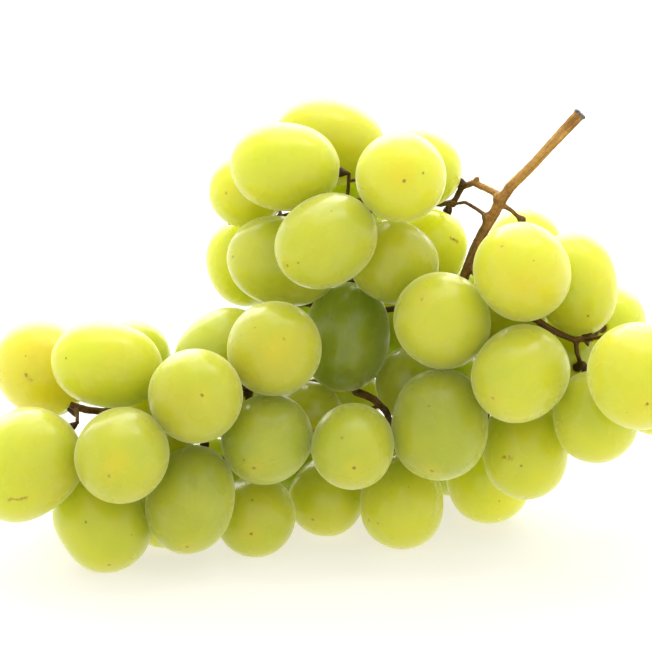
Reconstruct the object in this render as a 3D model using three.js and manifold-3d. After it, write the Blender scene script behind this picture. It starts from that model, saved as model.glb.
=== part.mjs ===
// A bunch of white table grapes lying on its side: one woody stem and the berries that it carries.
// Millimetres, +Z up. The origin is the centre of the bunch's footprint on the surface it lies on.
//
// The berries are laid out on a "face": a plane that leans back from the vertical by FACE_LEAN. A place is
// [across, rise, back]: across to the right, rise up the leaning face from its foot, back into the bunch.
import * as THREE from "three";
import { mergeVertices } from "three/addons/utils/BufferGeometryUtils.js";
import Module from "manifold-3d";

const FACE_LEAN = THREE.MathUtils.degToRad(18);
const SKIN_GAP = 0.3; // free space left between neighbours
const REST_PRESS = 0.22; // how far a berry's underside is pressed flat by the surface below it
const BERRY_DETAIL = 2; // icosahedron subdivisions: 180 faces a berry
const KNOT_DETAIL = 1;
const SAME_PLACE = 1e-5; // corners closer than this are one corner

const BERRY_COLOUR = 0xc3cc52;
const STEM_COLOUR = 0x8a6232;

// ---------------------------------------------------------------- what the bunch is made of

// Each berry: name, place of its centre, length, width, and where its stem end points if that isn't at the
// nearest branch. A berry marked "rests" stands on the surface.
const WING = [
  ["wing_berry_01", [1.2, 107.1, 22], 28.6, 21.2, [1, -0.25, 0.35]],
  ["wing_berry_02", [-10, 101, 2], 27.2, 22, [1, -0.1, 0.1]],
  ["wing_berry_03", [18.75, 98, -6], 24, 22.4, [-0.12, 0.05, 1]],
  ["wing_berry_04", [25.9, 99.9, 17], 20.4, 19.2],
  ["wing_berry_05", [-19.75, 95.2, 20], 20, 18.4, [0.55, 0.1, 0.83]],
  ["wing_berry_06", [0.5, 82.5, -8], 28, 22.5, [0.68, 0.44, 0.58]],
  ["wing_berry_07", [-10.25, 76.7, 12], 28, 22.4, [1, -0.2, 0.15]],
  ["wing_berry_08", [-20, 76.4, 32], 21.6, 18, [-0.25, 1, -0.1]],
  ["wing_berry_09", [17.3, 75.8, 8], 23, 20.6],
  ["wing_berry_10", [26.5, 82.8, 27], 21, 19, [0.5, 1, 0]],
  ["wing_berry_11", [6, 92.5, 40], 21, 19.6],
  ["wing_berry_12", [-10, 70.5, 39], 22, 20],
  ["wing_berry_13", [16.5, 83.5, 42], 22, 20],
];
const MIDDLE = [
  ["middle_berry_01", [7, 58, 15], 27.6, 21.6, [0.15, 1, 0.2]],
  ["middle_berry_02", [-13.25, 55.25, -8], 24.6, 23.4, [-0.23, -0.23, 0.94]],
  ["middle_berry_03", [-26, 54.3, 10], 25, 19.6, [0.75, 0.66, 0.2]],
  ["middle_berry_04", [-31.6, 43, -12], 24.8, 23.4, [-0.05, -0.05, 1]],
  ["middle_berry_05", [-33.5, 18.25, -4], 27.4, 21.8, [0.25, 1, 0.25]],
  ["middle_berry_06", [-17.5, 13.25, 10], 21.6, 19.8, [0.1, 0.4, 0.9], "rests"],
  ["middle_berry_07", [-14.75, 32, -1], 24, 21.8, [0.49, 0.43, 0.76]],
  ["middle_berry_08", [0.5, 18.75, 25], 20.6, 19, [0.38, 0.66, 0.65], "rests"],
  ["middle_berry_09", [6.25, 31.25, -4], 21.8, 20.4, [0.2, 0.65, 0.73]],
  ["middle_berry_10", [18.4, 18.4, 18], 23.4, 20.8, [0, 1, 0.25], "rests"],
  ["middle_berry_11", [28.5, 37.25, 2], 28, 24, [0.08, 0.93, 0.35]],
  ["middle_berry_12", [29.4, 62.75, -3], 24.8, 23.6, [0.45, -0.43, 0.78]],
  ["middle_berry_13", [21, 48.4, 19], 20, 18.6],
  ["middle_berry_14", [-5.5, 42.3, 15.5], 18.8, 17.8],
  ["middle_berry_15", [5, 41, 39], 21, 19.4],
  ["middle_berry_16", [-30.25, 22, 34], 22.4, 20.8, null, "rests"],
  ["middle_berry_17", [-8, 24, 42], 22.6, 21, null, "rests"],
  ["middle_berry_18", [14, 25, 45], 22.4, 20.6, null, "rests"],
  ["middle_berry_19", [-22.75, 42.5, 34], 22.6, 21],
  ["middle_berry_20", [15.5, 61, 43], 22.4, 20.8],
  ["middle_berry_21", [31, 47, 38], 22.2, 20.6],
];
const TAIL = [
  ["tail_berry_01", [-54.5, 51.2, -4], 28, 21.2, [1, -0.18, 0.25]],
  ["tail_berry_02", [-47.8, 51, 18], 19.8, 18.6],
  ["tail_berry_03", [-71.4, 50.2, 14], 25, 22.8, [0.6, -0.8, -0.2]],
  ["tail_berry_04", [-74.3, 26, -10], 30.2, 26, [0.75, 0.6, 0.3]],
  ["tail_berry_05", [-50.75, 29, -17], 24.6, 23, [0.3, 0.45, 0.84]],
  ["tail_berry_06", [-55.2, 11.6, -1], 26, 22.8, [-0.5, 0.85, 0.35], "rests"],
  ["tail_berry_07", [-41.5, 37.5, 6], 19.6, 18.4],
  ["tail_berry_08", [-41, 15, 16], 20.6, 19.2, null, "rests"],
  ["tail_berry_09", [-57.75, 18.75, 25], 21.8, 20.2, null, "rests"],
  ["tail_berry_10", [-46.5, 36, 29], 21.6, 20.2],
];
const SHOULDER = [
  ["shoulder_berry_01", [49.1, 74.5, -8], 25.4, 23.6, [0.43, -0.52, 0.74]],
  ["shoulder_berry_02", [62.75, 71.25, 10], 26, 20.6, [0.2, -1, 0]],
  ["shoulder_berry_03", [50.6, 80.6, 31], 20.6, 19],
  ["shoulder_berry_04", [32, 65, 40], 22, 20.4],
  ["shoulder_berry_05", [48, 48.5, -6], 26.2, 23, [0.52, 0.47, 0.71]],
  ["shoulder_berry_06", [78, 48.5, -16], 27, 25.4, [-0.32, 0.63, 0.71]],
  ["shoulder_berry_07", [71, 60.8, 24], 19.2, 18.2],
  ["shoulder_berry_08", [51.1, 30.3, 10], 25.4, 21.4, [0, 1, 0.3]],
  ["shoulder_berry_09", [41.6, 21.2, 34.5], 22.2, 21.2, null, "rests"],
  ["shoulder_berry_10", [68.2, 38.4, 2], 23, 20.8, [-0.2, 1, 0.2]],
  ["shoulder_berry_11", [59.75, 52.5, 20], 21.2, 20],
  ["shoulder_berry_12", [82.25, 42.5, 10], 20, 18.4],
  ["shoulder_berry_13", [46, 63, 16], 22, 20.8],
  ["shoulder_berry_14", [31, 28, 50], 21, 19, null, "rests"],
  ["shoulder_berry_15", [54, 64, 40], 21.4, 19.6],
];

// Each branch of the stem: the places that it runs through, and its radii from one end to the other.
const BRANCHES = {
  peduncle: {
    radii: [1.6, 1.3, 1.45],
    through: [[64.2, 114.5, 6], [57.3, 107.1, 8], [51.7, 101, 10], [46.5, 95.9, 11.5], [44.2, 92.5, 12]],
  },
  rachis: {
    radii: [1.5, 1.25, 1.15, 1.1, 1.0, 1.0],
    through: [
      [44.2, 92.5, 12], [43, 90, 12.4], [40.8, 86.5, 12.8], [38, 81, 13], [36, 76, 13.4], [34, 70.5, 15],
      [30, 63, 19], [26, 56, 27], [17, 50, 30], [6, 48, 27], [-6.5, 46, 25], [-19, 46, 22],
      [-30, 43.8, 18], [-40, 42.5, 17], [-50, 41, 13], [-57.2, 39.4, 7], [-64.2, 41.2, 5],
    ],
  },
  wing_branch: {
    radii: [0.95, 0.75, 0.7],
    through: [
      [44.6, 93.6, 12], [41, 95.5, 14], [38.4, 96.9, 16], [35.5, 97.3, 18.5], [34, 95.2, 20.5],
      [32.4, 92.3, 22.5], [28, 92, 26.5], [20, 93, 26], [12, 93, 21], [3, 92, 17], [-6, 90, 21],
      [-12, 88.5, 25],
    ],
  },
  wing_twig: {
    radii: [0.6, 0.5],
    through: [[41.2, 88.4, 12.8], [38.5, 90.3, 14], [36.4, 91.9, 15.5], [34, 92.4, 17], [32.2, 91.8, 18.5]],
  },
  wing_foot: {
    radii: [1, 0.7],
    through: [[34, 70.5, 15], [25, 67, 24], [14, 65, 28.5], [3, 65.5, 28], [-5, 66.5, 21]],
  },
  shoulder_stub: {
    radii: [0.75, 0.6],
    through: [[44, 92, 12.3], [46.6, 90.4, 12.6], [49.4, 87.9, 13.5]],
  },
  shoulder_branch: {
    radii: [1.1, 0.85],
    through: [
      [36.4, 76.5, 13.6], [41, 70.5, 10.5], [46.5, 67.2, 5.8], [53.5, 62.2, 5], [58.5, 59.2, 6],
      [64, 57.3, 7], [67, 58.2, 7],
    ],
  },
  shoulder_twig: { radii: [0.75, 0.6], through: [[63, 57.6, 6.8], [63.4, 54, 7.6], [64.5, 51, 7.4]] },
  deep_branch: {
    radii: [1.1, 0.8],
    through: [[30, 63, 19], [37, 56, 23], [41, 48, 24], [41.5, 40, 25], [39.5, 34, 29]],
  },
  middle_branch: {
    radii: [1.2, 0.8],
    through: [
      [6, 48, 27], [7.5, 44.6, 20], [11, 43.2, 12.5], [14.8, 40.5, 8.5], [16.8, 35.5, 9.5], [16.8, 31, 13],
      [13.5, 27, 20],
    ],
  },
  left_branch: { radii: [0.95, 0.75], through: [[-19, 46, 22], [-20, 38, 20.5], [-22, 30, 18.5]] },
  tail_branch: { radii: [0.9, 0.7], through: [[-50, 41, 13], [-52, 33, 10], [-50, 25.5, 9.5]] },
};

// Scars and swellings on the wood: place and radius.
const KNOTS = [
  [[38.3, 98.1, 16.2], 0.8],
  [[49.6, 87.8, 13.6], 1.15],
  [[43.9, 93, 12], 1.75],
  [[40.9, 88.3, 12.7], 1.5],
  [[66.8, 58.2, 7], 1.2],
  [[32.2, 91.8, 18.5], 1.0],
];

const PEDICEL_RADIUS = 0.6;
const PEDICEL_MOUTH = [[0.35, 1.45], [1.3, 1.15]]; // heights above the berry and radii of its swelling
const PEDICEL_SIDES = 5;
const BRANCH_SIDES = 7;
const RING_STEP = 4.6; // spacing of the rings that a branch is swept from
const CRUMB = 0.001; // cubic mm: a loose bit smaller than this comes from rounding, and is left out

// ---------------------------------------------------------------- places

const BACKWARDS = new THREE.Vector3(0, Math.cos(FACE_LEAN), -Math.sin(FACE_LEAN));
const UPWARDS = new THREE.Vector3(0, Math.sin(FACE_LEAN), Math.cos(FACE_LEAN));

function fromFace([across, rise, back]) {
  return new THREE.Vector3(across, 0, 0).addScaledVector(UPWARDS, rise).addScaledVector(BACKWARDS, back);
}

// The value at a share of the way along an evenly spaced list.
function alongList(values, share) {
  const place = share * (values.length - 1);
  const before = Math.min(Math.floor(place), values.length - 2);
  return THREE.MathUtils.lerp(values[before], values[before + 1], place - before);
}

// A branch's centre line as evenly spaced points with their radii.
function branchPoints({ through, radii }, spacing) {
  const curve = new THREE.CatmullRomCurve3(through.map(fromFace), false, "centripetal");
  const count = Math.max(2, Math.round(curve.getLength() / spacing));
  return curve.getSpacedPoints(count).map((at, i) => ({
    at,
    radius: alongList(radii, i / count),
  }));
}

// ---------------------------------------------------------------- berries

const YIELDING_DEPTH = 8; // a berry this far back gives way twice as much as one at the front
const SPECK = 1e-6;

class Berry {
  constructor([name, place, length, width, stemEnd, rests]) {
    this.name = name;
    this.home = fromFace(place);
    this.centre = this.home.clone();
    this.halfLength = length / 2;
    this.halfWidth = width / 2;
    this.axis = stemEnd ? fromFace(stemEnd).normalize() : null;
    this.rests = rests === "rests";
    this.yielding = 1 + Math.max(0, place[2]) / YIELDING_DEPTH;
  }

  // Half of the berry's extent along a unit vector.
  reach(n) {
    const along = this.axis.dot(n) ** 2;
    return Math.sqrt(this.halfLength ** 2 * along + this.halfWidth ** 2 * (1 - along));
  }

  // Distance from a point to the skin, measured along the line to the centre: negative inside.
  clearance(point) {
    const q = point.clone().sub(this.centre);
    const along = this.axis.dot(q);
    const off = Math.sqrt(Math.max(0, q.lengthSq() - along * along));
    const share = Math.hypot(along / this.halfLength, off / this.halfWidth);
    return share < SPECK ? -this.halfWidth : (q.length() * (share - 1)) / share;
  }

  // A point on the line out of the stem end, so far above the skin.
  aboveStemEnd(height) {
    return this.centre.clone().addScaledVector(this.axis, this.halfLength + height);
  }
}

const CROWD_ROUNDS = 700;
const SIDEWAYS_EASE = 0.22; // berries give way along the face's depth first, and this much sideways
const HOMING = 0.03; // how far towards its own place a berry drifts back in the first round
const HOMING_SHARE = 0.8; // of the rounds, after which berries only give way
const NEARBY = 20; // nothing further than this from a berry's centre can touch it
const STALK_ROOM = [[0.9, 1.6], [3.2, 0.95]]; // heights above a stem end, and the radius kept free there

const ease = (v) => {
  const deep = v.dot(BACKWARDS);
  return v.clone().multiplyScalar(SIDEWAYS_EASE).addScaledVector(BACKWARDS, deep * (1 - SIDEWAYS_EASE));
};

// Moves a berry so that its distance along n grows by much.
function nudge(berry, n, much) {
  const way = ease(n);
  berry.centre.addScaledVector(way, much / way.dot(n));
}

// Pushes berries apart until none overlaps a neighbour, a branch, another's stalk or the surface below.
function crowd(berries, wood) {
  for (let round = 0; round < CROWD_ROUNDS; round++) {
    const homing = HOMING * Math.max(0, 1 - round / (HOMING_SHARE * CROWD_ROUNDS));
    for (const berry of berries) {
      berry.centre.lerp(berry.home, homing);
      for (const { at, radius } of wood) keepOff(berry, at, radius + 2 * SKIN_GAP);
      for (const other of berries) {
        if (other === berry) continue;
        for (const [height, radius] of STALK_ROOM) shareRoom(berry, other, height, radius);
      }
    }
    berries.forEach((a, i) => berries.slice(i + 1).forEach((b) => separate(a, b)));
    berries.forEach(settle);
  }
}

function separate(a, b) {
  const n = b.centre.clone().sub(a.centre);
  const short = SKIN_GAP + a.reach(n.clone().normalize()) + b.reach(n.clone().normalize()) - n.length();
  if (short <= 0) return;
  n.normalize();
  const share = b.yielding / (a.yielding + b.yielding);
  nudge(b, n, short * share);
  nudge(a, n.negate(), short * (1 - share));
}

function keepOff(berry, point, room) {
  const n = berry.centre.clone().sub(point);
  if (n.length() > NEARBY) return;
  const short = room - berry.clearance(point);
  if (short > 0) nudge(berry, n.normalize(), short);
}

function shareRoom(owner, other, height, radius) {
  const point = owner.aboveStemEnd(height);
  const n = other.centre.clone().sub(point);
  if (n.length() > NEARBY) return;
  const short = radius + SKIN_GAP - other.clearance(point);
  if (short <= 0) return;
  n.normalize();
  const share = other.yielding / (other.yielding + owner.yielding);
  nudge(other, n, short * share);
  nudge(owner, n.negate(), short * (1 - share));
}

const VERTICAL = new THREE.Vector3(0, 0, 1);

function settle(berry) {
  const low = berry.centre.z - berry.reach(VERTICAL);
  if (berry.rests) nudge(berry, VERTICAL, -REST_PRESS - low);
  else if (low < SKIN_GAP) nudge(berry, VERTICAL, SKIN_GAP - low);
}

// A berry with no stem end of its own choice turns it to the nearest branch.
function faceTheWood(berry, wood) {
  if (berry.axis) return;
  const near = wood.reduce((best, w) =>
    w.at.distanceToSquared(berry.centre) < best.at.distanceToSquared(berry.centre) ? w : best,
  );
  berry.axis = near.at.clone().sub(berry.centre).normalize();
}

// ---------------------------------------------------------------- pedicels

const CELL = 1; // grid that a pedicel's way is found on
const GRID_HALF = 512; // cells on each side of the origin
const SLACK = 0.1; // extra room, since a way's rings cut its corners
const PEDICEL_NEED = PEDICEL_RADIUS + SKIN_GAP + SLACK;
const PEDICEL_START = PEDICEL_NEED + 1.6; // height above the skin where a pedicel is first free to bend
const COMFORT = 1.8; // a way closer than this to a skin is counted as longer
const TWIG_DETOUR = 2.5; // how much further a pedicel goes to meet a branch instead of another pedicel
const TWIG_FREE_STEPS = 3; // points at the start of a pedicel that no other pedicel may join
const SMOOTHINGS = 90;

const cellOf = (p) => [Math.round(p.x / CELL), Math.round(p.y / CELL), Math.round(p.z / CELL)];
const placeOf = ([i, j, k]) => new THREE.Vector3(i, j, k).multiplyScalar(CELL);
const keyOf = (cell) => cell.reduce((key, i) => key * 2 * GRID_HALF + i + GRID_HALF, 0);

const STEPS = [-1, 0, 1].flatMap((i) => [-1, 0, 1].flatMap((j) => [-1, 0, 1].map((k) => [i, j, k])));

// A queue that gives its entries back in order of cost.
class Queue {
  heap = [];

  push(entry) {
    const { heap } = this;
    let at = heap.push(entry) - 1;
    while (at > 0) {
      const parent = (at - 1) >> 1;
      if (heap[parent].cost <= entry.cost) break;
      heap[at] = heap[parent];
      at = parent;
    }
    heap[at] = entry;
  }

  pop() {
    const { heap } = this;
    const top = heap[0];
    const last = heap.pop();
    if (!heap.length) return top;
    let at = 0;
    for (let child = 1; child < heap.length; child = 2 * at + 1) {
      if (child + 1 < heap.length && heap[child + 1].cost < heap[child].cost) child++;
      if (heap[child].cost >= last.cost) break;
      heap[at] = heap[child];
      at = child;
    }
    heap[at] = last;
    return top;
  }
}

// Finds a way through the free space from each berry's stem end to the wood.
class Router {
  constructor(berries, wood) {
    this.berries = berries;
    this.rooms = new Map();
    this.goals = new Map();
    for (const { at } of wood) this.addGoal(at, 0);
  }

  addGoal(at, cost) {
    const cell = cellOf(at);
    const key = keyOf(cell);
    if (!this.goals.has(key) || this.goals.get(key).cost > cost) this.goals.set(key, { at, cost });
  }

  room(cell, key) {
    if (!this.rooms.has(key)) {
      const p = placeOf(cell);
      this.rooms.set(key, Math.min(p.z, ...this.berries.map((b) => b.clearance(p))));
    }
    return this.rooms.get(key);
  }

  find(berry) {
    const start = cellOf(berry.aboveStemEnd(PEDICEL_START));
    const best = new Map([[keyOf(start), 0]]);
    const queue = new Queue();
    queue.push({ cell: start, cost: 0, from: null });
    while (queue.heap.length) {
      const here = queue.pop();
      if (here.goal) return this.trace(here);
      const key = keyOf(here.cell);
      if (here.cost > best.get(key)) continue;
      const goal = this.goals.get(key);
      if (goal) queue.push({ ...here, cost: here.cost + goal.cost, goal });
      for (const step of STEPS) {
        const cell = here.cell.map((v, i) => v + step[i]);
        const next = keyOf(cell);
        const room = this.room(cell, next);
        if (room < PEDICEL_NEED && !this.goals.has(next)) continue;
        const cost = here.cost + Math.hypot(...step) * CELL * (1 + Math.max(0, COMFORT - room));
        if (cost >= (best.get(next) ?? Infinity)) continue;
        best.set(next, cost);
        queue.push({ cell, cost, from: here });
      }
    }
    throw new Error(`no way to the wood from ${berry.name}`);
  }

  // The places on the way, without the one that it starts from.
  trace(end) {
    const way = [end.goal.at.clone()];
    for (let step = end.from; step?.from; step = step.from) way.unshift(placeOf(step.cell));
    return way;
  }

  // Pulls a way tight while it keeps clear of every berry. Its first and last points stay where they are.
  smooth(way) {
    for (let round = 0; round < SMOOTHINGS; round++) {
      for (let i = 1; i < way.length - 1; i++) {
        way[i].lerp(way[i - 1].clone().add(way[i + 1]).multiplyScalar(0.5), 0.5);
        for (const berry of this.berries) {
          const short = PEDICEL_NEED - berry.clearance(way[i]);
          if (short > 0) way[i].addScaledVector(way[i].clone().sub(berry.centre).normalize(), short);
        }
      }
    }
    return way;
  }
}

function pedicel(berry, router) {
  const mouth = PEDICEL_MOUTH.map(([height, radius]) => ({ at: berry.aboveStemEnd(height), radius }));
  const way = router.smooth([berry.aboveStemEnd(PEDICEL_START), ...router.find(berry)]);
  for (const at of way.slice(TWIG_FREE_STEPS)) router.addGoal(at, TWIG_DETOUR);
  const curve = new THREE.CatmullRomCurve3(way, false, "centripetal");
  const count = Math.max(1, Math.round(curve.getLength() / RING_STEP));
  return [...mouth, ...curve.getSpacedPoints(count).map((at) => ({ at, radius: PEDICEL_RADIUS }))];
}

// ---------------------------------------------------------------- meshes

const manifold = await Module();
manifold.setup();

function toManifold(geometry) {
  return new manifold.Manifold(
    new manifold.Mesh({
      numProp: 3,
      vertProperties: new Float32Array(geometry.attributes.position.array),
      triVerts: new Uint32Array(geometry.index.array),
    }),
  );
}

function toGeometry(solid) {
  const { vertProperties, triVerts } = solid.getMesh();
  const geometry = new THREE.BufferGeometry();
  geometry.setAttribute("position", new THREE.BufferAttribute(new Float32Array(vertProperties), 3));
  geometry.setIndex(new THREE.BufferAttribute(new Uint32Array(triVerts), 1));
  return geometry;
}

const OBLIQUE = new THREE.Vector3(0.36, 0.48, 0.8); // a direction that no branch starts along

// A closed tube around a row of points, each with its own radius.
function tube(points, sides) {
  const places = [];
  const faces = [];
  const count = points.length;
  const across = OBLIQUE.clone();
  points.forEach(({ at, radius }, ring) => {
    const ahead = points[Math.min(ring + 1, count - 1)].at;
    const along = ahead.clone().sub(points[Math.max(ring - 1, 0)].at).normalize();
    across.addScaledVector(along, -across.dot(along)).normalize();
    const third = along.clone().cross(across);
    for (let side = 0; side < sides; side++) {
      const turn = (2 * Math.PI * side) / sides;
      const out = across.clone().multiplyScalar(Math.cos(turn)).addScaledVector(third, Math.sin(turn));
      places.push(at.clone().addScaledVector(out, radius));
      const next = (side + 1) % sides;
      const here = ring * sides;
      const back = here - sides;
      if (ring) faces.push(back + side, back + next, here + next, back + side, here + next, here + side);
    }
  });
  for (let side = 1; side < sides - 1; side++) {
    const end = (count - 1) * sides;
    faces.push(0, side + 1, side, end, end + side, end + side + 1);
  }
  const geometry = new THREE.BufferGeometry().setFromPoints(places);
  geometry.setIndex(faces);
  return geometry;
}

// A round body of unit radius.
function ball(detail) {
  const geometry = new THREE.IcosahedronGeometry(1, detail);
  geometry.deleteAttribute("uv");
  geometry.deleteAttribute("normal");
  return mergeVertices(geometry, SAME_PLACE);
}

function berryGeometry(berry) {
  const geometry = ball(BERRY_DETAIL);
  geometry.scale(berry.halfWidth, berry.halfWidth, berry.halfLength);
  geometry.applyQuaternion(new THREE.Quaternion().setFromUnitVectors(VERTICAL, berry.axis));
  geometry.translate(...berry.centre);
  if (!berry.rests) return geometry;
  geometry.computeBoundingBox();
  geometry.translate(0, 0, -REST_PRESS - geometry.boundingBox.min.z);
  return toGeometry(toManifold(geometry).trimByPlane([0, 0, 1], 0));
}

function stemGeometry(berries, wood) {
  const router = new Router(berries, wood);
  const branches = Object.values(BRANCHES).map((branch) => branchPoints(branch, RING_STEP));
  const pieces = branches.map((points) => tube(points, BRANCH_SIDES));
  for (const [place, radius] of KNOTS) {
    pieces.push(ball(KNOT_DETAIL).scale(radius, radius, radius).translate(...fromFace(place)));
  }
  const near = (berry) => Math.min(...wood.map(({ at }) => at.distanceTo(berry.aboveStemEnd(0))));
  const order = berries.map((berry) => ({ berry, gap: near(berry) })).sort((a, b) => a.gap - b.gap);
  for (const { berry } of order) pieces.push(tube(pedicel(berry, router), PEDICEL_SIDES));
  const bodies = manifold.Manifold.union(pieces.map(toManifold)).decompose();
  const [stem, ...crumbs] = bodies.sort((a, b) => b.volume() - a.volume());
  if (crumbs.some((crumb) => crumb.volume() > CRUMB)) throw new Error("part of the stem isn't joined to it");
  return toGeometry(stem);
}

// ---------------------------------------------------------------- the bunch

const berries = [...WING, ...MIDDLE, ...TAIL, ...SHOULDER].map((row) => new Berry(row));
const wood = Object.values(BRANCHES).flatMap((branch) => branchPoints(branch, 1));
berries.forEach((berry) => faceTheWood(berry, wood));
crowd(berries, wood);

const skin = new THREE.MeshStandardMaterial({ color: BERRY_COLOUR, roughness: 0.35, metalness: 0 });
const bark = new THREE.MeshStandardMaterial({ color: STEM_COLOUR, roughness: 0.75, metalness: 0 });

const bunch = new THREE.Group();
bunch.name = "grape_bunch";

function add(name, geometry, material) {
  const mesh = new THREE.Mesh(geometry, material);
  mesh.name = name;
  bunch.add(mesh);
}

add("stem", stemGeometry(berries, wood), bark);
for (const berry of berries) add(berry.name, berryGeometry(berry), skin);

const box = new THREE.Box3().setFromObject(bunch);
const middle = box.getCenter(new THREE.Vector3());
for (const mesh of bunch.children) mesh.geometry.translate(-middle.x, -middle.y, 0);

export default bunch;
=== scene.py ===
import math

import bmesh
import bpy
import numpy as np
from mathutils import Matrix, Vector, noise
from mathutils.bvhtree import BVHTree


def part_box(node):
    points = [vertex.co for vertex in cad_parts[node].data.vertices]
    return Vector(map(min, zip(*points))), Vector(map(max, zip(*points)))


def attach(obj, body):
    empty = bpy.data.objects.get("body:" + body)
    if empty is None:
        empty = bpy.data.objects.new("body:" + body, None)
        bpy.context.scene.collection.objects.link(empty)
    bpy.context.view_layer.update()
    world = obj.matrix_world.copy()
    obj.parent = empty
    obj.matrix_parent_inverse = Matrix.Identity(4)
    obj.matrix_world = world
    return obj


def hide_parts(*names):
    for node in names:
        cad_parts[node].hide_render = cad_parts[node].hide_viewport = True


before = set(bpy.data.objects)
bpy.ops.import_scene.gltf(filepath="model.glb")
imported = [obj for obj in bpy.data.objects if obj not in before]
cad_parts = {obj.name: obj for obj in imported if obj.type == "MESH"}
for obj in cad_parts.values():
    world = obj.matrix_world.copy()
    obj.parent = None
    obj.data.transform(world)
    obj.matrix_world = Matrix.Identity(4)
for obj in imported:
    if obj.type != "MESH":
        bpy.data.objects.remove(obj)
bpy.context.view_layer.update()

# A bunch of white grapes that lies on its side. The CAD frame gives each berry's place, size and direction,
# and this script makes the skins, the bark, the stage and the photograph's view around it. Lengths are in
# metres, and the scale of a noise is its number of waves to the metre.

MM = 0.001

# ---------------------------------------------------------------- the photograph's view

PHOTO_SIZE = 652
MM_PER_PIXEL = 0.25
ELEVATION = math.radians(18)
CAMERA_DISTANCE = 2.4
SENSOR = 36.0
FARTHEST_SEEN = 20.0

# Where the photograph shows the middle of some berries, in its own pixels.
LANDMARKS = {
    "wing_berry_02": (285, 167),
    "wing_berry_03": (401, 178),
    "middle_berry_02": (273, 350),
    "middle_berry_04": (200, 397),
    "middle_berry_11": (438, 418),
    "tail_berry_05": (123, 455),
    "tail_berry_01": (108, 366),
    "shoulder_berry_01": (522, 272),
    "shoulder_berry_05": (518, 375),
}

RIGHT = np.array([1.0, 0.0, 0.0])
UP = np.array([0.0, math.sin(ELEVATION), math.cos(ELEVATION)])
AWAY = np.array([0.0, math.cos(ELEVATION), -math.sin(ELEVATION)])


def middle_of(node):
    low, high = (np.array(corner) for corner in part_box(node))
    return (low + high) / 2


def off_middle(px, py):
    """How far to the right of the photograph's middle, and above it, a pixel is on the bunch."""
    half = PHOTO_SIZE / 2
    return (px - half) * MM_PER_PIXEL * MM, (half - py) * MM_PER_PIXEL * MM


def photo_centre():
    """The point of the bunch that the photograph has at its middle."""
    centres = []
    for node, pixel in LANDMARKS.items():
        middle, (across, rise) = middle_of(node), off_middle(*pixel)
        centres.append((middle @ RIGHT - across, middle @ UP - rise, middle @ AWAY))
    return np.mean(centres, axis=0) @ np.array([RIGHT, UP, AWAY])


VIEW_CENTRE = photo_centre()
EYE = VIEW_CENTRE - CAMERA_DISTANCE * AWAY


def sight(px, py):
    """The direction from the eye to what the photograph has at a pixel."""
    across, rise = off_middle(px, py)
    line = CAMERA_DISTANCE * AWAY + across * RIGHT + rise * UP
    return line / np.linalg.norm(line)


# ---------------------------------------------------------------- node graphs

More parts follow.
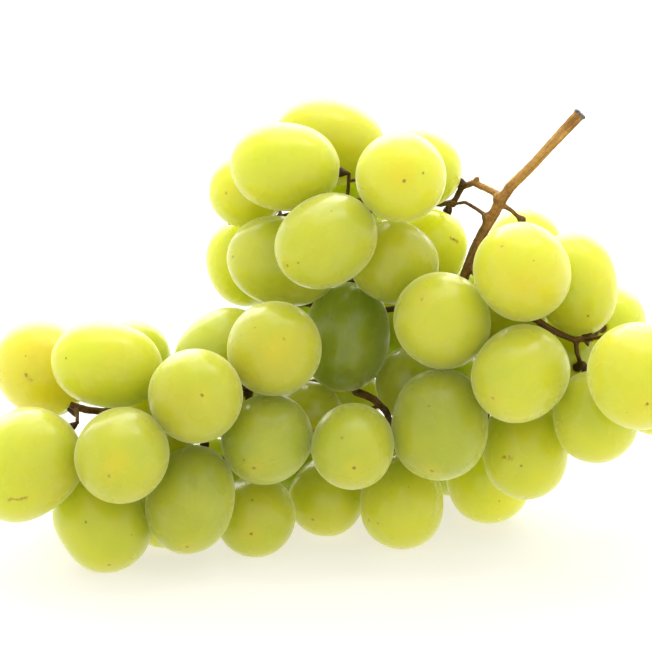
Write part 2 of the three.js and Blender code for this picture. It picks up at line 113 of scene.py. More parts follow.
class Graph:
    """Short calls for building a material's nodes."""

    def __init__(self, material):
        material.use_nodes = True
        self.tree = material.node_tree
        self.tree.nodes.clear()
        output = self.tree.nodes.new("ShaderNodeOutputMaterial")
        self.shader = self.tree.nodes.new("ShaderNodeBsdfPrincipled")
        self.put(output.inputs["Surface"], self.shader.outputs[0])

    def put(self, socket, value):
        if isinstance(value, bpy.types.NodeSocket):
            self.tree.links.new(value, socket)
        else:
            socket.default_value = value

    def surface(self, inputs):
        for name, value in inputs.items():
            self.put(self.shader.inputs[name], value)

    def node(self, kind, inputs, **settings):
        node = self.tree.nodes.new(kind)
        for name, value in settings.items():
            setattr(node, name, value)
        for key, value in inputs.items():
            self.put(node.inputs[key], value)
        return node

    def place(self):
        return self.node("ShaderNodeTexCoord", {}).outputs["Object"]

    def attribute(self, name):
        return self.node("ShaderNodeAttribute", {}, attribute_name=name).outputs["Vector"]

    def split(self, vector):
        parts = self.node("ShaderNodeSeparateXYZ", {0: vector}).outputs
        return parts["X"], parts["Y"], parts["Z"]

    def math(self, operation, a, b=0.0, c=0.0, clamp=False):
        node = self.node("ShaderNodeMath", {0: a, 1: b, 2: c}, operation=operation, use_clamp=clamp)
        return node.outputs[0]

    def vector(self, operation, a, b=(0, 0, 0)):
        node = self.node("ShaderNodeVectorMath", {0: a, 1: b}, operation=operation)
        return node.outputs["Value" if operation in ("DOT_PRODUCT", "DISTANCE") else "Vector"]

    def scaled(self, vector, scale):
        return self.node("ShaderNodeVectorMath", {0: vector, "Scale": scale}, operation="SCALE").outputs[0]

    def noise(self, at, scale, detail, roughness=0.5):
        inputs = {"Vector": at, "Scale": scale, "Detail": detail, "Roughness": roughness}
        return self.node("ShaderNodeTexNoise", inputs).outputs["Fac"]

    def sway(self, waves, reach, value):
        """Moves a value up and down with a noise, whose own middle is a half."""
        return self.math("MULTIPLY_ADD", self.math("SUBTRACT", waves, 0.5), reach, value)

    def step(self, value, low, high, to_low=0.0, to_high=1.0):
        inputs = {"Value": value, "From Min": low, "From Max": high, "To Min": to_low, "To Max": to_high}
        return self.node("ShaderNodeMapRange", inputs, interpolation_type="SMOOTHSTEP").outputs["Result"]

    def within(self, distance, inner, outer):
        """1 up to the inner distance, and 0 past the outer one."""
        return self.step(distance, inner, outer, 1.0, 0.0)

    def mix(self, factor, a, b, blend="MIX"):
        node = self.node("ShaderNodeMix", {"Factor": factor}, data_type="RGBA", blend_type=blend)
        for socket, value in zip([s for s in node.inputs if s.type == "RGBA"], (a, b)):
            self.put(socket, value)
        return next(s for s in node.outputs if s.type == "RGBA")

    def paint(self, colour, where, strength, tint):
        """Lays a tint over a colour, by how much a place is inside a mark and how strong the mark is."""
        return self.mix(self.math("MULTIPLY", where, strength), colour, tint)

    def ramp(self, factor, stops):
        """A colour between stops, each a position and a colour. The first is at 0 and the last at 1."""
        node = self.node("ShaderNodeValToRGB", {"Fac": factor})
        elements = node.color_ramp.elements
        elements[0].color, elements[1].color = stops[0][1], stops[-1][1]
        for position, colour in stops[1:-1]:
            elements.new(position).color = colour
        return node.outputs["Color"]

    def bump(self, height, strength, distance, normal=None):
        inputs = {"Height": height, "Strength": strength, "Distance": distance}
        if normal is not None:
            inputs["Normal"] = normal
        return self.node("ShaderNodeBump", inputs).outputs["Normal"]


def rgb(red, green, blue):
    return (red, green, blue, 1.0)


# ---------------------------------------------------------------- the shapes of the berries

RINGS = 22  # quads along each edge of the cube that a berry's mesh starts from
PLUMP = 1.012  # berries swell across most of the gap that the CAD solids keep
RESTING_FLAT = 0.05 * MM  # the CAD solid's points below this height are on the flat that it rests on
FLOOR_GAP = 0.02 * MM  # no skin goes lower than this
ASKEW = (0.36, 0.48, 0.8)  # a direction that no berry points along
FIRST_DRAW = 1000  # each berry has its own random draw, numbered from here
NOISE_STEP = 7.1  # how far apart two berries' noises are
SAME_POINT = 6  # two points of the sphere that agree to this many digits are one

# How far a berry's sides bulge past an ellipsoid: the blunt ones, and the range of the others.
BLUNT = {
    "tail_berry_04": 0.060,
    "tail_berry_06": 0.070,
    "tail_berry_01": 0.035,
    "wing_berry_02": 0.030,
    "middle_berry_11": 0.045,
    "shoulder_berry_01": 0.030,
    "shoulder_berry_03": 0.040,
    "shoulder_berry_05": 0.045,
    "shoulder_berry_08": 0.055,
    "shoulder_berry_10": 0.045,
    "middle_berry_10": 0.040,
}
USUAL_BULGE = (0.01, 0.04)
EGG = 0.035  # how much fuller one end may be than the other
LENGTHWAYS = 0.3  # how much of a swelling goes along the berry
UNEVENNESS = ((0.011, 1.1, 0), (0.004, 3.1, 50))  # height, scale on a unit sphere, and shift of the noise

# The dimple at the stem end, and then at the blossom end: which way the end faces, the dimple's depth and
# spread, and the height of the rim around it and how far out it is, in mm.
DIMPLES = ((1, 0.55, 1.7, 0.16, 3.1), (-1, 0.16, 0.9, 0.06, 1.9))


def mesh_points(node):
    """The vertices of a CAD node."""
    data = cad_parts[node].data
    points = np.empty(len(data.vertices) * 3)
    data.vertices.foreach_get("co", points)
    return points.reshape(-1, 3)


class Berry:
    """A CAD berry's middle, half-sizes and the direction of its stem end, measured from its solid."""

    def __init__(self, name, wood):
        self.name = name
        points = mesh_points(name)
        points = points[points[:, 2] > RESTING_FLAT]
        start = points.mean(axis=0)
        x, y, z = ((points - start) / MM).T
        terms = np.c_[x * x, y * y, z * z, 2 * x * y, 2 * x * z, 2 * y * z, 2 * x, 2 * y, 2 * z]
        a, b, c, d, e, f, g, h, i = np.linalg.lstsq(terms, np.ones(len(x)), rcond=None)[0]
        form = np.array([[a, d, e], [d, b, f], [e, f, c]])
        offset = -np.linalg.solve(form, [g, h, i])
        values, axes = np.linalg.eigh(form / (1 + offset @ form @ offset))
        self.centre = start + offset * MM
        self.length = MM / math.sqrt(values[0])
        self.width = MM / math.sqrt(values[1:].mean())
        self.axis = axes[:, 0]
        poles = [self.centre + sign * self.length * self.axis for sign in (1, -1)]
        gaps = [np.linalg.norm(wood - pole, axis=1).min() for pole in poles]
        if gaps[1] < gaps[0]:
            self.axis = -self.axis
        self.side = np.cross(self.axis, ASKEW)
        self.side /= np.linalg.norm(self.side)
        self.third = np.cross(self.axis, self.side)
        self.stem_end = self.centre + self.axis * self.length
        self.blossom_end = self.centre - self.axis * self.length


def cube_sphere(n):
    """Points spread over a unit sphere and the quads between them."""
    steps = np.tan(np.linspace(-math.pi / 4, math.pi / 4, n + 1))
    index, points, quads = {}, [], []
    for face in range(6):
        axis, sign = face % 3, 1 if face < 3 else -1
        grid = np.empty((n + 1, n + 1), int)
        for i, u in enumerate(steps):
            for j, v in enumerate(steps):
                p = np.empty(3)
                p[axis], p[(axis + 1) % 3], p[(axis + 2) % 3] = sign, u, v
                p /= np.linalg.norm(p)
                key = tuple(np.round(p, SAME_POINT) + 0.0)
                if key not in index:
                    index[key] = len(points)
                    points.append(p)
                grid[i, j] = index[key]
        for i in range(n):
            for j in range(n):
                quad = [grid[i, j], grid[i + 1, j], grid[i + 1, j + 1], grid[i, j + 1]]
                quads.append(quad if sign > 0 else quad[::-1])
    return np.array(points), np.array(quads)


SPHERE, QUADS = cube_sphere(RINGS)


def smooth_noise(points, scale, seed):
    """Noise of about -1 to 1 at each point."""
    shift = Vector((seed, 2.3 * seed, -seed))
    return np.array([noise.noise(Vector(p * scale) + shift) for p in points])


def berry_shape(berry, seed, draw):
    """The places of a berry's vertices: plump, a little irregular, dimpled where the pedicel holds it."""
    egg, usual = draw.uniform(-EGG, EGG), draw.uniform(*USUAL_BULGE)
    bulge = BLUNT.get(berry.name, usual)
    z = SPHERE[:, 2]
    swell = 1 + bulge * 4 * (z ** 2) * (1 - z ** 2) + egg * z * (1 - z ** 2)
    for height, scale, shift in UNEVENNESS:
        swell += height * smooth_noise(SPHERE, scale, seed + shift)
    girth, reach = berry.width * swell, berry.length * (1 + LENGTHWAYS * (swell - 1))
    local = SPHERE * np.c_[girth, girth, reach] * PLUMP
    for end, depth, spread, rim, rim_at in DIMPLES:
        pole = np.array([0, 0, end * berry.length * PLUMP])
        gap = np.linalg.norm(local - pole, axis=1) / MM
        sink = depth * np.exp(-((gap / spread) ** 2)) - rim * np.exp(-((gap - rim_at) ** 2))
        local[:, 2] -= end * sink * MM
    places = berry.centre + local @ np.array([berry.side, berry.third, berry.axis])
    places[:, 2] = np.maximum(places[:, 2], FLOOR_GAP)
    return places


# ---------------------------------------------------------------- the looks of the berries

# How each berry differs from the rest: ripeness from green (-1) to golden (1), and lightness. The lightness
# is partly the berry's own tone and partly painted light and shade: lower for berries that sit in shade,
# higher for lit ones.
BERRY_TONES_AND_SHADES = {
    "wing_berry_01": (0.4, -0.1),
    "wing_berry_02": (0.0, 0.2),
    "wing_berry_03": (0.2, 0.3),
    "wing_berry_04": (0.1, 0.3),
    "wing_berry_05": (0.2, 0.3),
    "wing_berry_06": (-0.1, -0.3),
    "wing_berry_07": (-0.1, 0.2),
    "wing_berry_08": (0.1, 0.3),
    "wing_berry_09": (-0.1, 0.1),
    "wing_berry_10": (0.0, 1.4),
    "middle_berry_01": (-0.9, -0.8),
    "middle_berry_02": (0.2, -0.4),
    "middle_berry_03": (-0.3, 0.1),
    "middle_berry_04": (0.1, -0.5),
    "middle_berry_05": (-0.3, -0.7),
    "middle_berry_06": (-0.1, -0.4),
    "middle_berry_07": (-0.4, -0.6),
    "middle_berry_08": (-0.1, 0.3),
    "middle_berry_09": (-0.2, -0.5),
    "middle_berry_10": (-0.1, 0.2),
    "middle_berry_11": (-0.4, -0.6),
    "middle_berry_12": (0.0, 0.2),
    "tail_berry_01": (0.1, 0.2),
    "tail_berry_03": (0.9, 0.1),
    "tail_berry_04": (0.1, 0.0),
    "tail_berry_05": (0.0, -0.4),
    "tail_berry_06": (-0.1, 0.1),
    "shoulder_berry_01": (0.3, 0.3),
    "shoulder_berry_02": (0.2, 0.4),
    "shoulder_berry_03": (0.2, 0.3),
    "shoulder_berry_05": (-0.1, 0.3),
    "shoulder_berry_06": (0.2, 0.2),
    "shoulder_berry_07": (0.0, 0.1),
    "shoulder_berry_08": (0.0, 0.2),
    "shoulder_berry_09": (0.0, 0.9),
    "shoulder_berry_10": (0.0, 0.1),
}
USUAL_RIPENESS = (-0.3, 0.4)
# Painted light: the berries not listed, which show deep in the crevices, get a high lightness that lifts the
# shade there.
USUAL_LIGHTNESS = (0.5, 1.0)

# Painted shade: how much greener and darker the skins of the farthest berries are made, as the light from
# behind reaches them in full.
FAR_BEHIND = 25 * MM
FAR_GREEN, FAR_SHADE = 0.35, 1.3

# Where the photograph shows marks on the berries, in its own pixels.
SCARS = {
    "wing_berry_03": (404, 181),
    "wing_berry_05": (226, 193),
    "middle_berry_02": (284, 339),
    "middle_berry_04": (202, 395),
    "middle_berry_05": (187, 547),
    "middle_berry_07": (254, 468),
    "middle_berry_08": (313, 520),
    "middle_berry_09": (354, 468),
    "middle_berry_11": (432, 471),
    "middle_berry_12": (422, 299),
    "tail_berry_05": (109, 476),
    "tail_berry_06": (109, 565),
    "shoulder_berry_01": (502, 246),
    "shoulder_berry_05": (493, 398),
    "shoulder_berry_06": (647, 404),
}
SPECKS = {
    "wing_berry_03": (423, 173),
    "wing_berry_06": (298, 263),
    "wing_berry_07": (233, 257),
    "wing_berry_10": (454, 239),
    "middle_berry_06": (252, 500),
    "middle_berry_07": (244, 460),
    "middle_berry_09": (342, 438),
    "middle_berry_10": (369, 520),
    "middle_berry_11": (429, 406),
    "tail_berry_01": (66, 358),
    "tail_berry_06": (86, 522),
    "shoulder_berry_02": (588, 316),
    "shoulder_berry_08": (521, 466),
}
SCUFFS = {  # from one pixel to another
    "tail_berry_04": ((9, 500), (26, 498)),
    "tail_berry_03": ((26, 375), (31, 379)),
    "wing_berry_10": ((451, 238), (457, 242)),
    "shoulder_berry_08": ((504, 457), (512, 459)),
}
BLUSHES = {  # pixel, radius in mm
    "tail_berry_03": ((38, 337), 8.0),
    "tail_berry_05": ((117, 462), 5.0),
    "middle_berry_02": ((272, 352), 5.5),
    "wing_berry_03": ((402, 170), 6.0),
    "shoulder_berry_01": ((524, 285), 6.0),
}
NOWHERE = (0.0, 0.0, -1.0)  # a place too far off to leave a mark
OFF_NOWHERE = (0.0, 0.001, -1.0)

# The flesh from green to golden, what a berry's lightness and ripeness do to it, and how it scatters light.
GREEN_FLESH = rgb(0.29, 0.35, 0.042)
RIPE_FLESH = rgb(0.435, 0.443, 0.042)
GOLDEN_FLESH = rgb(0.51, 0.43, 0.045)
FLESH_LIGHT, LIGHTNESS_SHARE = 1.03, 0.27
RIPE_MIDDLE, RIPENESS_SHARE, DRIFT_SHARE = 0.15, 0.5, 0.7
SCATTER_RADIUS, SCATTER_SCALE, SCATTER_FORWARD = (0.90, 1.0, 0.26), 0.055, 0.7

# The tint and the strength of each mark on the skin.
VEIN, VEIN_STRENGTH = rgb(0.50, 0.54, 0.13), 0.09
WAX, WAX_STRENGTH = rgb(0.52, 0.56, 0.20), 0.14
BLUSH, BLUSH_STRENGTH = rgb(0.53, 0.43, 0.030), 0.50
LENTICEL, LENTICEL_STRENGTH = rgb(0.20, 0.15, 0.03), 0.75
HALO, HALO_STRENGTH = rgb(0.53, 0.43, 0.045), 0.30
SCAR, FAINTEST_SCAR, SCAR_RANGE = rgb(0.16, 0.105, 0.02), 0.35, 0.50
SPECK, SPECK_STRENGTH = rgb(0.14, 0.10, 0.02), 0.75
RUSSET, RUSSET_STRENGTH = rgb(0.26, 0.13, 0.02), 0.75
COLLAR, COLLAR_STRENGTH = rgb(0.44, 0.49, 0.12), 0.5
COLLAR_RIM, COLLAR_RIM_STRENGTH = rgb(0.28, 0.20, 0.05), 0.7

# How near to a mark's middle the skin has all of its tint, and how far from it none.
HALO_REACH = (0.6 * MM, 4.2 * MM)
SCAR_REACH = (0.24 * MM, 0.60 * MM)
SPECK_REACH = (0.16 * MM, 0.46 * MM)
SCUFF_REACH = (0.0, 0.8 * MM)
COLLAR_REACH = (1.6 * MM, 4.4 * MM)
COLLAR_RIM_REACH = (1.2 * MM, 2.1 * MM)
BLUSH_REACH, BLUSH_SHIFT, BLUSH_UNEVEN = (0.1, 1.0), 0.25, 0.5  # in radii of the blush
VEIN_REACH = (0.0, 0.035)  # in heights of the noise
LENTICEL_REACH, LENTICEL_RARITY = (0.045, 0.085), (0.90, 0.92)  # in cells, and the share without one
CRUMBLE = 0.6 * MM  # how uneven the edges of small marks are
CRUMBLED_SCUFF = 3.0  # how many times as uneven a scuff's edges are

# The scale of each noise, and between which heights of it a patch begins and is full.
DRIFT_SCALE = 70.0
WAX_SCALE, WAX_EDGE = 120.0, (0.30, 0.80)
SMEAR_SCALE, SMEAR_EDGE, SMEARED_WAX = 45.0, (0.3, 0.7), 0.25  # the last is how much wax a smear leaves
VEIN_ROUND, VEIN_ALONG, VEIN_APART = 2.4, 45.0, 90.0  # round a berry, along it, and from one to the next
LENTICEL_SCALE = 260.0
CRUMBLE_SCALE = 1400.0
SCUFF_SCALE, SCUFF_EDGE = 900.0, (0.32, 0.52)
GRAIN_SCALE = 900.0

# How strongly and how high the skin's unevenness catches the light.
GRAIN_BUMP = (0.05, 0.08 * MM)
SCAR_BUMP = (0.5, 0.2 * MM)
LENTICEL_BUMP = (0.3, 0.1 * MM)
CLEAN_ROUGHNESS, WAX_ROUGHNESS = 0.24, 0.14
SHEEN_TINT = rgb(0.97, 1.0, 0.55)


def set_vectors(mesh, name, vectors):
    """Stores a vector at each vertex, for a material to read."""
    attribute = mesh.attributes.new(name, "FLOAT_VECTOR", "POINT")
    attribute.data.foreach_set("vector", np.ascontiguousarray(vectors, np.float32).ravel())


def new_object(name, places, faces, material):
    mesh = bpy.data.meshes.new(name)
    mesh.from_pydata(places.tolist(), [], faces.tolist())
    mesh.polygons.foreach_set("use_smooth", [True] * len(mesh.polygons))
    mesh.materials.append(material)
    made = bpy.data.objects.new(name, mesh)
    bpy.context.scene.collection.objects.link(made)
    return made


def seen_on(places, pixels):
    """The places on a berry's skin that the photograph has at some pixels."""
    tree = BVHTree.FromPolygons(places.tolist(), QUADS.tolist())
    hits = [tree.ray_cast(Vector(EYE), Vector(sight(*pixel)))[0] for pixel in pixels]
    return [NOWHERE if hit is None else hit for hit in hits]


def marks_on(berry, places):
    """Where a berry's marks are on its skin. The ones that it doesn't have are far off."""
    scar, speck, scuff_from, scuff_to = berry.blossom_end, NOWHERE, NOWHERE, OFF_NOWHERE
    blush, blush_radius = NOWHERE, 1.0
    if berry.name in SCARS:
        scar, = seen_on(places, [SCARS[berry.name]])
    if berry.name in SPECKS:
        speck, = seen_on(places, [SPECKS[berry.name]])
    if berry.name in SCUFFS:
        scuff_from, scuff_to = seen_on(places, SCUFFS[berry.name])
    if berry.name in BLUSHES:
        pixel, blush_radius = BLUSHES[berry.name]
        blush, = seen_on(places, [pixel])
    return {"scar_at": scar, "speck_at": speck, "scuff_from": scuff_from, "scuff_to": scuff_to,
            "blush_at": blush, "blush_size": (blush_radius * MM, 0, 0)}


def build_berry(berry, number, material):
    draw = np.random.default_rng(FIRST_DRAW + number)
    places = berry_shape(berry, NOISE_STEP * number, draw)
    made = new_object(berry.name + "_skin", places, QUADS, material)
    # painted shade: berries farther back get greener, darker skins
    behind = np.clip((berry.centre[1] - VIEW_CENTRE[1]) / FAR_BEHIND, 0, 1)
    usual = (draw.uniform(*USUAL_RIPENESS) - FAR_GREEN * behind,
             draw.uniform(*USUAL_LIGHTNESS) - FAR_SHADE * behind)
    # the listed lightness carries painted light and shade as well as the berry's own tone
    ripeness, lightness = BERRY_TONES_AND_SHADES.get(berry.name, usual)
    chance = draw.uniform(0, 1)
    looks = {"berry_middle": berry.centre, "berry_axis": berry.axis, "stem_end": berry.stem_end,
             "tone": (ripeness, lightness, chance), **marks_on(berry, places)}
    for name, vector in looks.items():
        set_vectors(made.data, name, np.tile(np.asarray(vector, np.float32), (len(places), 1)))
    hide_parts(berry.name)
    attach(made, "root")


def flesh_colour(g, ripeness, lightness, drift):
    """Green to golden, with slow changes over the berry, made lighter or darker by its lightness, which holds
    painted light and shade as well as its own tone.
    """
    patches = g.math("MULTIPLY_ADD", drift, DRIFT_SHARE, RIPE_MIDDLE)
    ripe = g.math("MULTIPLY_ADD", ripeness, RIPENESS_SHARE, patches, clamp=True)
    flesh = g.ramp(ripe, ((0.0, GREEN_FLESH), (0.5, RIPE_FLESH), (1.0, GOLDEN_FLESH)))
    light = g.math("MULTIPLY_ADD", lightness, LIGHTNESS_SHARE, FLESH_LIGHT)
    grey = g.node("ShaderNodeCombineColor", {"Red": light, "Green": light, "Blue": light})
    return g.mix(1.0, flesh, grey.outputs[0], "MULTIPLY")


def veins(g, at):
    """Pale threads under the skin that run from end to end: a noise that changes slowly along the berry."""
    middle, axis = g.attribute("berry_middle"), g.attribute("berry_axis")
    from_middle = g.vector("SUBTRACT", at, middle)
    along = g.vector("DOT_PRODUCT", from_middle, axis)
    heading = g.vector("NORMALIZE", g.vector("SUBTRACT", from_middle, g.scaled(axis, along)))
    lengthways = g.scaled(axis, g.math("MULTIPLY", along, VEIN_ALONG))
    thread_at = g.vector("ADD", g.scaled(heading, VEIN_ROUND), lengthways)
    thread_at = g.vector("ADD", thread_at, g.scaled(middle, VEIN_APART))
    from_thread = g.math("ABSOLUTE", g.math("SUBTRACT", g.noise(thread_at, 1.0, 3.0), 0.5))
    return g.within(from_thread, *VEIN_REACH)


def wax_bloom(g, at):
    """The powdery wax, patchy and a little smeared."""
    patches = g.step(g.noise(at, WAX_SCALE, 3.0), *WAX_EDGE)
    return g.math("MULTIPLY", patches, g.step(g.noise(at, SMEAR_SCALE, 1.0), *SMEAR_EDGE, SMEARED_WAX, 1.0))


def sun_blush(g, at, drift):
    """Where the sun has turned the skin golden, with a soft, uneven edge."""
    size = g.split(g.attribute("blush_size"))[0]
    from_blush = g.math("DIVIDE", g.vector("DISTANCE", at, g.attribute("blush_at")), size)
    uneven = g.math("MULTIPLY_ADD", drift, BLUSH_UNEVEN, g.math("SUBTRACT", from_blush, BLUSH_SHIFT))
    return g.within(uneven, *BLUSH_REACH)


def lenticels(g, at):
    """A few small dots: one in about ten of the cells has one."""
    cells = g.node("ShaderNodeTexVoronoi", {"Vector": at, "Scale": LENTICEL_SCALE, "Randomness": 1.0})
    chance = g.node("ShaderNodeSeparateColor", {0: cells.outputs["Color"]}).outputs["Red"]
    dot = g.within(cells.outputs["Distance"], *LENTICEL_REACH)
    return g.math("MULTIPLY", dot, g.step(chance, *LENTICEL_RARITY))


def scuffed(g, at, crumble):
    """A broken russet line from one place to another."""
    start = g.attribute("scuff_from")
    line = g.vector("SUBTRACT", g.attribute("scuff_to"), start)
    offset = g.vector("SUBTRACT", at, start)
    share = g.math("DIVIDE", g.vector("DOT_PRODUCT", offset, line), g.vector("DOT_PRODUCT", line, line),
                   clamp=True)
    from_line = g.vector("DISTANCE", offset, g.scaled(line, share))
    scuff = g.within(g.math("MULTIPLY_ADD", crumble, CRUMBLED_SCUFF, from_line), *SCUFF_REACH)
    return g.math("MULTIPLY", scuff, g.step(g.noise(at, SCUFF_SCALE, 1.0), *SCUFF_EDGE))


def skin_material():
    """Thin waxy skin over wet, translucent flesh, with bloom, lenticels, scars and faint veins."""
    material = bpy.data.materials.new("grape_skin")
    g = Graph(material)
    at = g.place()
    ripeness, lightness, chance = g.split(g.attribute("tone"))
    drift = g.noise(at, DRIFT_SCALE, 2.0)
    colour = flesh_colour(g, ripeness, lightness, drift)
    colour = g.paint(colour, veins(g, at), VEIN_STRENGTH, VEIN)
    wax = wax_bloom(g, at)
    colour = g.paint(colour, wax, WAX_STRENGTH, WAX)
    colour = g.paint(colour, sun_blush(g, at, drift), BLUSH_STRENGTH, BLUSH)
    dot = lenticels(g, at)
    colour = g.paint(colour, dot, LENTICEL_STRENGTH, LENTICEL)

    # the blossom scar in its halo, a speck and a scuff, with crumbled edges
    crumble = g.math("MULTIPLY_ADD", g.noise(at, CRUMBLE_SCALE, 2.0), CRUMBLE, -CRUMBLE / 2)
    to_scar = g.vector("DISTANCE", at, g.attribute("scar_at"))
    colour = g.paint(colour, g.within(to_scar, *HALO_REACH), HALO_STRENGTH, HALO)
    scar = g.within(g.math("ADD", to_scar, crumble), *SCAR_REACH)
    colour = g.paint(colour, scar, g.math("MULTIPLY_ADD", chance, SCAR_RANGE, FAINTEST_SCAR), SCAR)
    to_speck = g.vector("DISTANCE", at, g.attribute("speck_at"))
    speck = g.within(g.math("ADD", to_speck, crumble), *SPECK_REACH)
    colour = g.paint(colour, speck, SPECK_STRENGTH, SPECK)
    colour = g.paint(colour, scuffed(g, at, crumble), RUSSET_STRENGTH, RUSSET)

    # the pale collar round the pedicel, and the brown rim inside it
    to_stem = g.vector("DISTANCE", at, g.attribute("stem_end"))
    colour = g.paint(colour, g.within(to_stem, *COLLAR_REACH), COLLAR_STRENGTH, COLLAR)
    colour = g.paint(colour, g.within(to_stem, *COLLAR_RIM_REACH), COLLAR_RIM_STRENGTH, COLLAR_RIM)

    normal = g.bump(g.noise(at, GRAIN_SCALE, 3.0), *GRAIN_BUMP)
    normal = g.bump(scar, *SCAR_BUMP, normal)
    normal = g.bump(dot, *LENTICEL_BUMP, normal)
    g.shader.subsurface_method = "RANDOM_WALK"
    g.surface({
        "Base Color": colour,
        "Roughness": g.math("MULTIPLY_ADD", wax, WAX_ROUGHNESS, CLEAN_ROUGHNESS),
        "Normal": normal,
        "Subsurface Weight": 1.0,
        "Subsurface Radius": SCATTER_RADIUS,
        "Subsurface Scale": SCATTER_SCALE,
        "Subsurface Anisotropy": SCATTER_FORWARD,
        "IOR": 1.37,
        "Coat Weight": 0.21,
        "Coat Roughness": 0.20,
        "Sheen Weight": 0.72,
        "Sheen Roughness": 0.38,
        "Sheen Tint": SHEEN_TINT,
    })
    return material


# ---------------------------------------------------------------- stem

STEM_VOXEL = 0.34 * MM
SAME_PLACE = 0.001 * MM
SMOOTHING, SMOOTHING_ROUNDS = 0.5, 4

# The swollen end of a pedicel: heights above the berry's stem end, and the radius at each, in mm.
RECEPTACLE = ((-0.75, 0.85), (-0.25, 1.2), (0.3, 1.15), (0.8, 0.95), (1.4, 0.7))
RECEPTACLE_SIDES = 16

# How pale the bark is made where the photograph shows it, from dark (0) to golden (1), by its own pixels.
# This is partly the bark's own colour and partly painted shade: the twigs inside the bunch are darker.
BARK_TONES_AND_SHADE = (
    ((572, 122), 0.52),
    ((558, 139), 0.64),
    ((540, 160), 0.68),
    ((522, 180), 0.74),
    ((508, 193), 0.62),
    ((500, 207), 0.56),
    ((492, 223), 0.50),
    ((482, 240), 0.38),
    ((472, 260), 0.24),
    ((494, 188), 0.62),
    ((480, 182), 0.64),
    ((470, 181), 0.45),
    ((464, 187), 0.24),
    ((478, 208), 0.24),
    ((464, 201), 0.20),
    ((516, 213), 0.30),
    ((521, 218), 0.20),
    ((560, 330), 0.22),
    ((583, 352), 0.20),
    ((74, 408), 0.26),
    ((380, 400), 0.12),
)
HIDDEN_SHADED_TONE, HIDDEN_WEIGHT = 0.22, 0.02  # painted shade: the bark's dark tone where it is far from all of these, mostly hidden among the berries
TONE_REACH = 20  # a tone has half its weight where its distance in mm, to the fourth power, is this
CUT_PIXEL = (583, 113)
PEDUNCLE_PIXEL = BARK_TONES_AND_SHADE[1][0]
CUT_REACH = 5 * MM  # only the bark this near the tip is looked at for the cut
CUT_DEPTH, CUT_BLUR = 0.9 * MM, 0.5 * MM
WART_REACH = 2.6 * MM  # how far the warty bark, also darkened with painted shade, goes from a berry's stem end
SIGHT_WIDTH = 0.6 * MM  # how close to a line of sight the bark that it meets has to be
OFF_SIGHT = 40  # how much farther away each step off the line counts

# How high the bark's ridges and lumps stand, in mm, and the scales of their noises.
RIDGE, RIDGE_ROUND, RIDGE_ALONG = 0.10, 2.6, 110
LUMP, WART_LUMP, CUT_LUMP, LUMP_SCALE = 0.07, 0.16, 0.20, 900
CUT_FLARE = 0.25
SMOOTH_BELOW = 0.5  # the bark stays smooth up to this height above the floor, in mm

BARK_STOPS = (
    (0.0, rgb(0.050, 0.026, 0.008)),
    (0.25, rgb(0.150, 0.080, 0.020)),
    (0.5, rgb(0.345, 0.168, 0.040)),
    (0.75, rgb(0.57, 0.318, 0.085)),
    (1.0, rgb(0.80, 0.60, 0.27)),
)
DARK_CUT, PALE_CUT = rgb(0.045, 0.040, 0.034), rgb(0.20, 0.18, 0.15)

# The scale, detail and roughness of the bark's noises, and how far each moves its paleness.
COARSE, COARSE_SWAY = (160.0, 4.0, 0.6), 0.55
FINE, FINE_SWAY = (1300.0, 4.0, 0.65), 0.45
STREAK, STREAK_SWAY = (1.0, 4.0, 0.6), 0.85
# painted shade: how much darker the bark is made near the berries' stem ends
NEAR_BERRY_PAINTED_SHADE = 0.30
GRIT_EDGE = (0.35, 0.65)
GLOSS_EDGE, DULL, GLOSSY = (0.3, 0.7), 0.72, 0.55
FINE_BUMP = (0.6, 0.3 * MM)
STREAK_BUMP = (0.5, 0.5 * MM)


def bark_material():
    """Dry bark: golden along the peduncle, dark on the twigs, streaked lengthways, grey where it is cut. The
    dark inside the bunch and by the berries is partly painted shade.
    """
    material = bpy.data.materials.new("grape_stem")
    g = Graph(material)
    at = g.place()
    paleness, cut, wart = g.split(g.attribute("bark_look"))
    coarse = g.noise(at, *COARSE)
    fine = g.noise(at, *FINE)
    streak_at = g.vector("ADD", g.scaled(g.attribute("bark_round"), RIDGE_ROUND), g.scaled(at, RIDGE_ALONG))
    streak = g.noise(streak_at, *STREAK)
    shade = g.sway(streak, STREAK_SWAY, paleness)
    shade = g.sway(coarse, COARSE_SWAY, shade)
    shade = g.sway(fine, FINE_SWAY, shade)
    # painted shade: the bark is made darker near the berries' stem ends, where it meets them
    shade = g.math("SUBTRACT", shade, g.math("MULTIPLY", wart, NEAR_BERRY_PAINTED_SHADE))
    grit = g.mix(g.step(fine, *GRIT_EDGE), DARK_CUT, PALE_CUT)
    normal = g.bump(fine, *FINE_BUMP)
    normal = g.bump(streak, *STREAK_BUMP, normal)
    g.surface({
        "Base Color": g.mix(cut, g.ramp(shade, BARK_STOPS), grit),
        "Roughness": g.step(fine, *GLOSS_EDGE, DULL, GLOSSY),
        "Normal": normal,
        "Specular IOR Level": 0.2,
    })
    return material


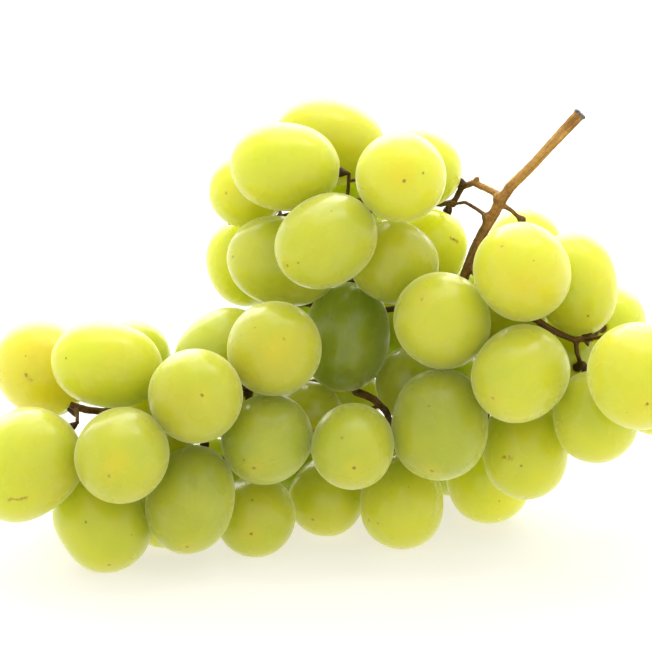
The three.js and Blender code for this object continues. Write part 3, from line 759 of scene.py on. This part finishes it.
def weather(bark, berries):
    """Roughens the bark's surface and stores how pale, cut or warty each place of it is; the paleness and the
    warts both carry painted shade as well.
    """
    count = len(bark.vertices)
    places, normals = np.empty(count * 3), np.empty(count * 3)
    bark.vertices.foreach_get("co", places)
    bark.vertices.foreach_get("normal", normals)
    places, normals = places.reshape(-1, 3), normals.reshape(-1, 3)

    def seen_at(px, py):
        line = sight(px, py)
        ahead = (places - EYE) @ line
        aside = np.linalg.norm(places - EYE - ahead[:, None] * line, axis=1)
        return places[np.argmin(ahead + OFF_SIGHT * np.maximum(aside - SIGHT_WIDTH, 0))]

    # the tones carry painted shade as well as the bark's own colour
    tones, weights = np.full(count, HIDDEN_SHADED_TONE * HIDDEN_WEIGHT), np.full(count, HIDDEN_WEIGHT)
    for pixel, tone in BARK_TONES_AND_SHADE:
        gap = np.linalg.norm(places - seen_at(*pixel), axis=1) / MM
        weight = 1 / (1 + gap ** 4 / TONE_REACH)
        tones += tone * weight
        weights += weight
    tip = seen_at(*CUT_PIXEL)
    run = tip - seen_at(*PEDUNCLE_PIXEL)
    run /= np.linalg.norm(run)
    near = np.linalg.norm(places - tip, axis=1) < CUT_REACH
    end = (places[near] @ run).max()
    cut = np.where(near, np.clip(((places @ run) - end + CUT_DEPTH) / CUT_BLUR, 0, 1), 0)
    ends = np.array([berry.stem_end for berry in berries])
    wart = np.exp(-(np.linalg.norm(places[:, None] - ends[None], axis=2).min(axis=1) / WART_REACH) ** 2)

    ridges = [noise.noise(Vector(n * RIDGE_ROUND + p * RIDGE_ALONG)) for p, n in zip(places, normals)]
    lumps = [noise.noise(Vector(p * LUMP_SCALE)) for p in places]
    swell = RIDGE * np.array(ridges) + CUT_FLARE * cut
    swell += (LUMP + WART_LUMP * wart + CUT_LUMP * cut) * np.array(lumps)
    off_floor = np.clip(places[:, 2] / MM - SMOOTH_BELOW, 0, 1)
    bark.vertices.foreach_set("co", (places + normals * (swell * off_floor * MM)[:, None]).ravel())
    set_vectors(bark, "bark_look", np.c_[tones / weights, cut, wart])
    set_vectors(bark, "bark_round", normals)


def add_receptacle(bm, berry):
    """The swollen end of a pedicel, which goes a little way into its berry."""
    sides = RECEPTACLE_SIDES
    rings = []
    for height, radius in RECEPTACLE:
        middle = berry.stem_end + berry.axis * height * MM
        rings.append([
            bm.verts.new(middle + radius * MM * (math.cos(turn) * berry.side + math.sin(turn) * berry.third))
            for turn in np.arange(sides) * 2 * math.pi / sides
        ])
    for low, high in zip(rings, rings[1:]):
        for i in range(sides):
            j = (i + 1) % sides
            bm.faces.new((low[i], low[j], high[j], high[i]))
    bm.faces.new(rings[0][::-1])
    bm.faces.new(rings[-1])


def stem_core(berries):
    """The CAD stem with its receptacles, as loose shells in one object."""
    bm = bmesh.new()
    bm.from_mesh(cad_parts["stem"].data)
    bmesh.ops.remove_doubles(bm, verts=bm.verts, dist=SAME_PLACE)
    for berry in berries:
        add_receptacle(bm, berry)
    mesh = bpy.data.meshes.new("stem_core")
    bm.to_mesh(mesh)
    bm.free()
    core = bpy.data.objects.new("stem_core", mesh)
    bpy.context.scene.collection.objects.link(core)
    return core


def build_stem(berries, material):
    """Grows the core's shells together, smooths the joins and roughens the bark."""
    core = stem_core(berries)
    remesh = core.modifiers.new("remesh", "REMESH")
    remesh.mode, remesh.voxel_size = "VOXEL", STEM_VOXEL
    smooth = core.modifiers.new("smooth", "SMOOTH")
    smooth.factor, smooth.iterations = SMOOTHING, SMOOTHING_ROUNDS
    bark = bpy.data.meshes.new_from_object(core.evaluated_get(bpy.context.evaluated_depsgraph_get()))
    bpy.data.meshes.remove(core.data)
    bark.name = "stem_bark"
    bark.materials.clear()
    bark.materials.append(material)
    weather(bark, berries)
    bark.polygons.foreach_set("use_smooth", [True] * len(bark.polygons))
    made = bpy.data.objects.new("stem_bark", bark)
    bpy.context.scene.collection.objects.link(made)
    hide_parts("stem")
    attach(made, "root")


# ---------------------------------------------------------------- stage, light and camera

FLOOR_HALF = 4.0
FLOOR_GREY = rgb(0.32, 0.32, 0.32)
# Painted light: the floor glows warm, which lifts the shadow under the bunch and tints it yellow like light
# passed through the berries.
FLOOR_GLOW = rgb(0.70, 0.675, 0.57)
TENT_WHITE, TENT_STRENGTH = rgb(1.0, 1.0, 1.0), 1.12
LIT_PLACE = Vector((0, 0, 0.05))

# Each light's name, place, power in watts, width, and height if it isn't round.
LIGHTS = (
    ("back_panel", (0.0, 3.0, 1.5), 112.0, 5.0, 2.7),
    ("back_softbox", (-0.20, 0.95, 1.05), 7.6, 1.15, None),
    ("top_softbox", (0.10, 0.20, 1.5), 6.0, 1.2, None),
    ("window", (0.70, 0.20, 1.25), 1.6, 0.40, None),
)


def white_floor():
    material = bpy.data.materials.new("white_sweep")
    Graph(material).surface({"Base Color": FLOOR_GREY, "Emission Color": FLOOR_GLOW, "Emission Strength": 1.0,
                             "Roughness": 0.9, "Specular IOR Level": 0.1})
    corners = FLOOR_HALF * np.array([(-1, -1, 0), (1, -1, 0), (1, 1, 0), (-1, 1, 0)])
    floor = new_object("floor", corners, np.array([(0, 1, 2, 3)]), material)


def soft_light(name, at, power, width, height):
    """A light that faces the bunch."""
    light = bpy.data.lights.new(name, "AREA")
    light.shape = "RECTANGLE" if height else "DISK"
    light.size = width
    light.size_y = height or width
    light.energy = power
    made = bpy.data.objects.new(name, light)
    made.location = at
    made.rotation_euler = (LIT_PLACE - Vector(at)).to_track_quat("-Z", "Y").to_euler()
    bpy.context.scene.collection.objects.link(made)


def light_the_stage():
    world = bpy.data.worlds.new("tent")
    world.use_nodes = True
    background = world.node_tree.nodes["Background"]
    background.inputs["Color"].default_value = TENT_WHITE
    background.inputs["Strength"].default_value = TENT_STRENGTH
    bpy.context.scene.world = world
    for light in LIGHTS:
        soft_light(*light)
    bpy.context.scene.view_settings.view_transform = "Standard"
    bpy.context.scene.view_settings.exposure = 0.0


def place_camera():
    camera = bpy.data.cameras.new("camera")
    camera.sensor_width = SENSOR
    camera.lens = SENSOR * CAMERA_DISTANCE / (PHOTO_SIZE * MM_PER_PIXEL * MM)
    camera.clip_end = FARTHEST_SEEN
    made = bpy.data.objects.new("camera", camera)
    made.location = Vector(EYE)
    made.rotation_euler = (math.pi / 2 - ELEVATION, 0, 0)
    bpy.context.scene.collection.objects.link(made)
    bpy.context.scene.camera = made


# ---------------------------------------------------------------- the scene

place_camera()
light_the_stage()
white_floor()

wood = mesh_points("stem")
berries = [Berry(name, wood) for name in sorted(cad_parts) if name != "stem"]
skin = skin_material()
for number, berry in enumerate(berries):
    build_berry(berry, number, skin)
build_stem(berries, bark_material())

bpy.context.view_layer.update()
